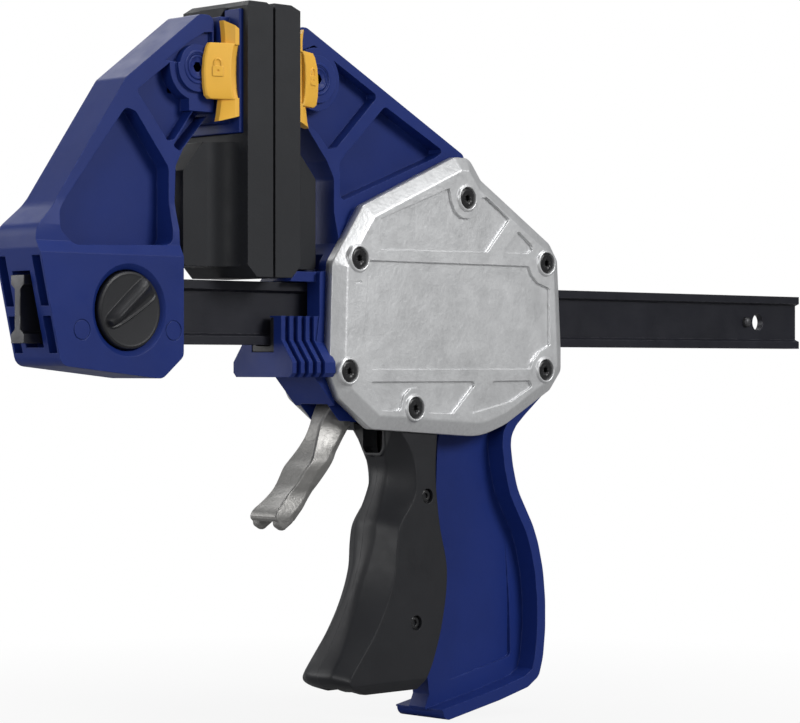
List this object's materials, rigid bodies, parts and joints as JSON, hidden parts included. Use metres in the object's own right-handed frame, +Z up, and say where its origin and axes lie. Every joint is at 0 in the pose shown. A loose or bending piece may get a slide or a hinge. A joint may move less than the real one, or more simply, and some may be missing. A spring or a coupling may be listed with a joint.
{
  "type": "quick release bar clamp",
  "caption": "One-handed bar clamp: a fixed jaw and a sliding jaw on an I-section bar, squeezed by a trigger against a fixed handle and let go by a finger lever.",
  "frame": {"origin": "on the bar's centre line, in the plane where the two closed pads meet", "axes": "+X along the bar from the fixed jaw to the sliding jaw, +Z up toward the jaws' tips, the handle toward -Z, the screwed cover toward -Y"},
  "size_m": [0.4021, 0.034, 0.252],
  "materials": {
    "jaw_polymer": "moulded dark blue glass-filled nylon, satin with a fine grain",
    "bar_steel": "black oxide and oil on rolled steel",
    "pad_rubber": "firm charcoal elastomer, matt",
    "latch_plastic": "moulded amber plastic, satin",
    "grip_plastic": "black moulded plastic with a soft sheen",
    "cover_metal": "die-cast, silver lacquered",
    "screw_steel": "black screws",
    "lever_metal": "die-cast, tumbled",
    "works_steel": "bright steel, lightly oiled"
  },
  "bodies": {
    "bar": {"bar": "bar_steel", "bar_stop_pin": "works_steel", "fixed_jaw": "jaw_polymer", "fixed_pivot_pin": "jaw_polymer"},
    "lock_knob": {"lock_knob": "grip_plastic"},
    "lock_pin": {"lock_pin": "works_steel"},
    "fixed_swivel": {"fixed_swivel_jaw": "jaw_polymer", "fixed_pad": "pad_rubber"},
    "fixed_latch": {"fixed_latch": "latch_plastic"},
    "carriage": {"moving_jaw_body": "jaw_polymer", "bar_guide": "grip_plastic", "moving_pivot_pin": "jaw_polymer", "cover_plate_near": "cover_metal", "cover_plate_far": "cover_metal", "cover_screws": "screw_steel", "trigger_pivot_pin": "works_steel", "lever_pivot_pin": "works_steel", "drive_spring": "works_steel", "brake_spring": "works_steel"},
    "moving_swivel": {"moving_swivel_jaw": "jaw_polymer", "moving_pad": "pad_rubber"},
    "moving_latch": {"moving_latch": "latch_plastic"},
    "trigger": {"trigger_yoke": "works_steel", "trigger_shell_near": "grip_plastic", "trigger_shell_far": "grip_plastic", "trigger_screws": "screw_steel"},
    "drive_plates": {"drive_plates": "works_steel"},
    "release_lever": {"release_lever": "lever_metal"},
    "brake_plate": {"brake_plate": "works_steel"}
  },
  "joints": [
    {"name": "jaw_slide", "type": "slide", "parent": "bar", "child": "carriage", "axis": [1, 0, 0], "range_m": [0, 0.125]},
    {"name": "knob_turn", "type": "hinge", "parent": "bar", "child": "lock_knob", "pos_m": [-0.0586, 0, 0], "axis": [0, -1, 0], "range_deg": [0, 90]},
    {"name": "lock_pin_draw", "type": "slide", "parent": "bar", "child": "lock_pin", "axis": [0, -1, 0], "range_m": [0, 0.0055]},
    {"name": "fixed_pad_swivel", "type": "hinge", "parent": "bar", "child": "fixed_swivel", "pos_m": [-0.0273, 0, 0.0816], "axis": [0, 1, 0], "range_deg": [0, 1.5]},
    {"name": "fixed_latch_slide", "type": "slide", "parent": "fixed_swivel", "child": "fixed_latch", "axis": [0, 0, -1], "range_m": [0, 0.004]},
    {"name": "moving_pad_swivel", "type": "hinge", "parent": "carriage", "child": "moving_swivel", "pos_m": [0.0273, 0, 0.0816], "axis": [0, -1, 0], "range_deg": [0, 1.5]},
    {"name": "moving_latch_slide", "type": "slide", "parent": "moving_swivel", "child": "moving_latch", "axis": [0, 0, -1], "range_m": [0, 0.004]},
    {"name": "trigger_pull", "type": "hinge", "parent": "carriage", "child": "trigger", "pos_m": [0.076, 0, 0.022], "axis": [0, -1, 0], "range_deg": [0, 16], "stiffness_Nm_per_rad": 1, "springref_deg": -17.19},
    {"name": "drive_feed", "type": "slide", "parent": "carriage", "child": "drive_plates", "axis": [1, 0, 0], "range_m": [0, 0.0107], "deforming": ["drive_spring"]},
    {"name": "release_pull", "type": "hinge", "parent": "carriage", "child": "release_lever", "pos_m": [0.056, 0, -0.024], "axis": [0, -1, 0], "range_deg": [0, 12], "stiffness_Nm_per_rad": 0.3, "springref_deg": -17.19},
    {"name": "brake_release", "type": "hinge", "parent": "carriage", "child": "brake_plate", "pos_m": [0.048, 0, 0.017], "axis": [0, -1, 0], "range_deg": [0, 2.2], "deforming": ["brake_spring"]}
  ],
  "couplings": [
    {"joint": "lock_pin_draw", "follows": "knob_turn", "m_per_rad": 0.0035},
    {"joint": "drive_feed", "follows": "trigger_pull", "m_per_rad": 0.038},
    {"joint": "brake_release", "follows": "release_pull", "ratio": 0.18}
  ]
}
